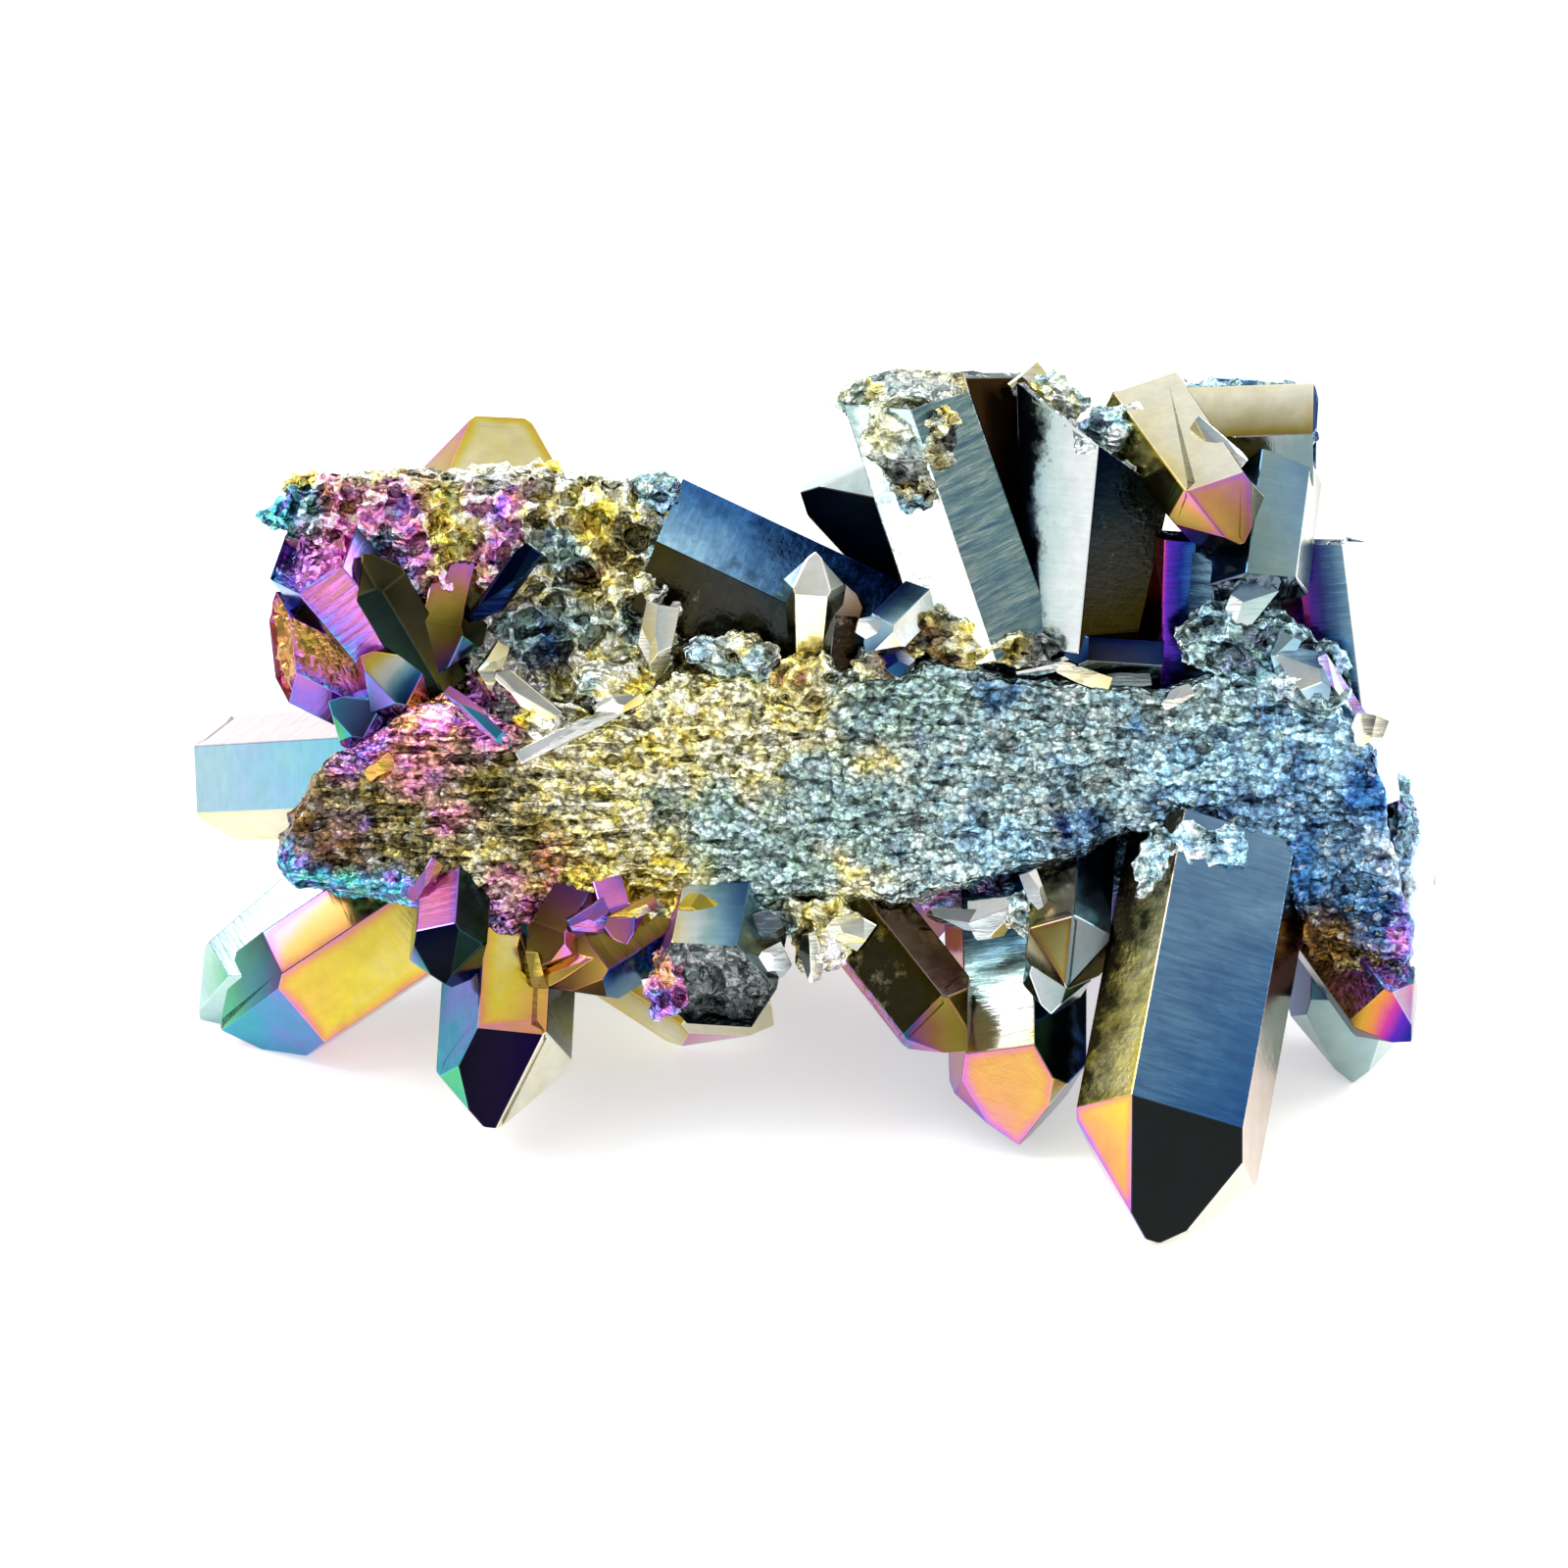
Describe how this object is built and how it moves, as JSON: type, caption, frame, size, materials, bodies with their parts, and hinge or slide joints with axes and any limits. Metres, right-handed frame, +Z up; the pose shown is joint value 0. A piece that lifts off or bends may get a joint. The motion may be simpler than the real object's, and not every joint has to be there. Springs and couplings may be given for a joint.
{
  "type": "titanium aura quartz cluster",
  "caption": "Cluster of six-sided quartz points on a broken matrix seam, coated in rainbow metal oxide; a free-standing specimen.",
  "frame": {"origin": "on the ground, under the middle of the bounding box", "axes": "+X along the seam to the viewer's right, -Y towards the broken face's side, +Z up as the cluster stands on its tips"},
  "size_m": [0.0824, 0.0523, 0.0445],
  "materials": {
    "titanium_coated_quartz": "quartz under an opaque, mirror-like metal oxide film with interference colours: magenta, gold and teal at the left, steel blue at the right"
  },
  "bodies": {
    "root": {"quartz_cluster": "titanium_coated_quartz"}
  },
  "joints": []
}
